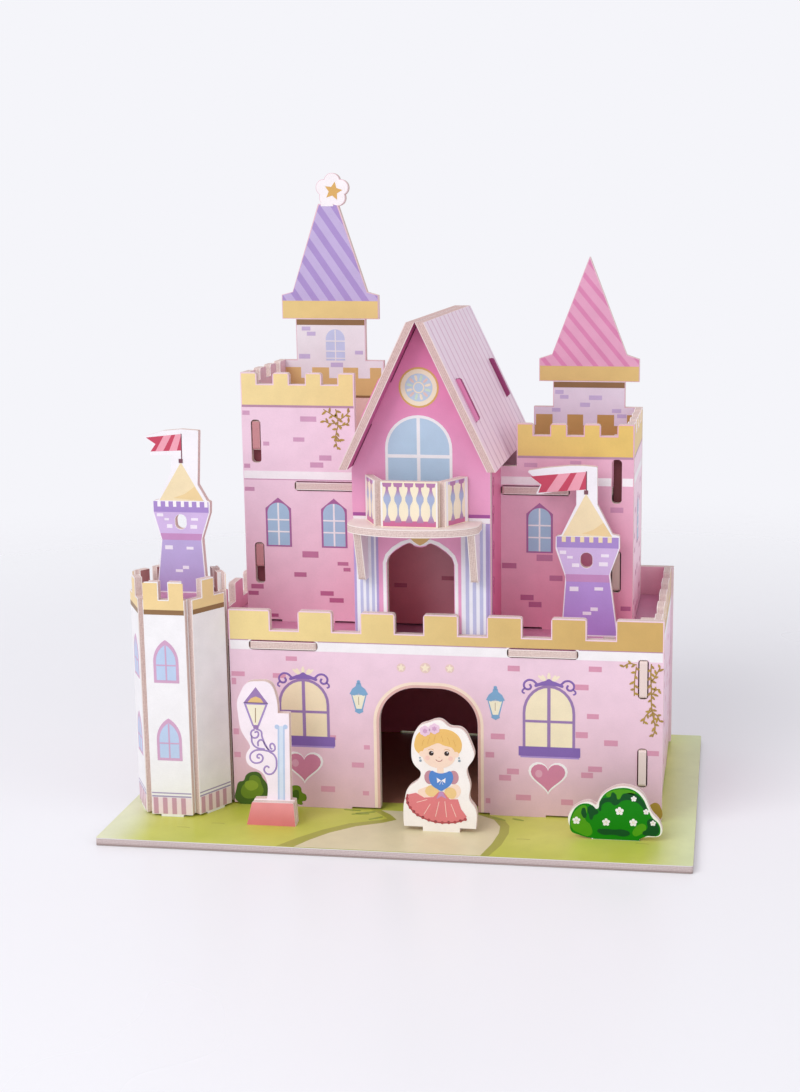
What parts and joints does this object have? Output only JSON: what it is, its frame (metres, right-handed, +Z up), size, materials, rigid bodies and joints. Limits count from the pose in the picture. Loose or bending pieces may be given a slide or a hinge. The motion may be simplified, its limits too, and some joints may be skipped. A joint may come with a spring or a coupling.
{
  "type": "cardboard toy castle",
  "caption": "Slot-together castle of printed board: gate wall, corner tower, gable house with balcony and roof, turrets, loose cards on a base.",
  "frame": {"origin": "centre of the base board's underside", "axes": "+Z up, +X to the right of someone who looks at the gate, +Y from the gate to the rear wall"},
  "size_m": [0.225, 0.15, 0.2513],
  "materials": {
    "green_card": "printed satin paper on grey board",
    "pink_card": "printed satin paper on grey board",
    "rose_card": "printed satin paper on grey board",
    "floor_card": "printed satin paper on grey board",
    "magenta_card": "printed satin paper on grey board",
    "roof_card": "printed satin paper on grey board",
    "cream_card": "printed satin paper on grey board",
    "violet_card": "printed satin paper on grey board",
    "white_card": "printed satin paper on grey board",
    "coral_card": "printed satin paper on grey board",
    "leaf_card": "printed satin paper on grey board"
  },
  "bodies": {
    "root": {"base_board": "green_card", "front_wall": "pink_card", "rear_wall": "pink_card", "left_wall": "pink_card", "right_wall": "pink_card", "deck_floor": "floor_card", "corner_tower_shell": "white_card", "corner_tower_floor": "floor_card", "upper_front_wall": "rose_card", "upper_rear_wall": "rose_card", "upper_left_wall": "rose_card", "upper_right_wall": "rose_card", "upper_floor": "floor_card", "gable_front": "magenta_card", "gable_left_return": "magenta_card", "gable_right_return": "magenta_card", "roof_left": "roof_card", "roof_right": "roof_card", "balcony_floor": "cream_card", "balcony_railing": "cream_card", "balcony_bracket_left": "cream_card", "balcony_bracket_right": "cream_card", "small_tower_left": "violet_card", "small_tower_right": "violet_card", "lamp_post": "white_card", "lamp_foot": "coral_card", "doll_figure": "white_card", "bush": "leaf_card"}
  },
  "joints": []
}
